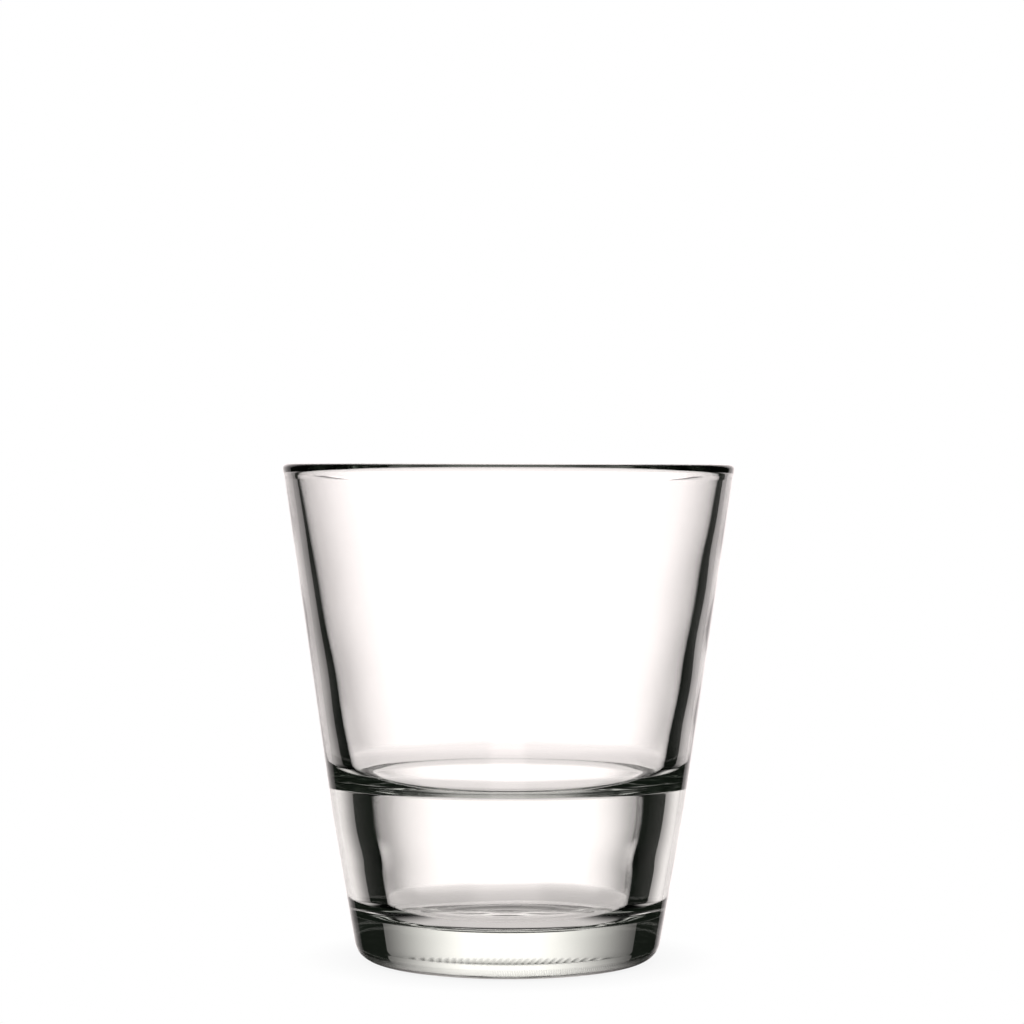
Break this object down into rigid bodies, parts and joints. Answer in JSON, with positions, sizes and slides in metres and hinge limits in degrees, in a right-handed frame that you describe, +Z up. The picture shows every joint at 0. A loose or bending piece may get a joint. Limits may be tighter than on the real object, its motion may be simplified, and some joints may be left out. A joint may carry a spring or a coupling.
{
  "type": "whisky glass",
  "caption": "Clear pressed-glass stacking whisky tumbler: tapered bowl with a fire-polished rim, an inner stacking ledge over a narrower chamber, and a thick base with a rounded foot.",
  "frame": {"origin": "centre of the foot, on the plane that the glass stands on", "axes": "+Z up along the glass's axis of revolution, towards the mouth; X and Y are level and alike"},
  "size_m": [0.0848, 0.0848, 0.093],
  "materials": {
    "clear_glass": "pressed, fire-polished soda-lime glass, clear with a faint green depth in the base"
  },
  "bodies": {
    "root": {"tumbler": "clear_glass"}
  },
  "joints": []
}
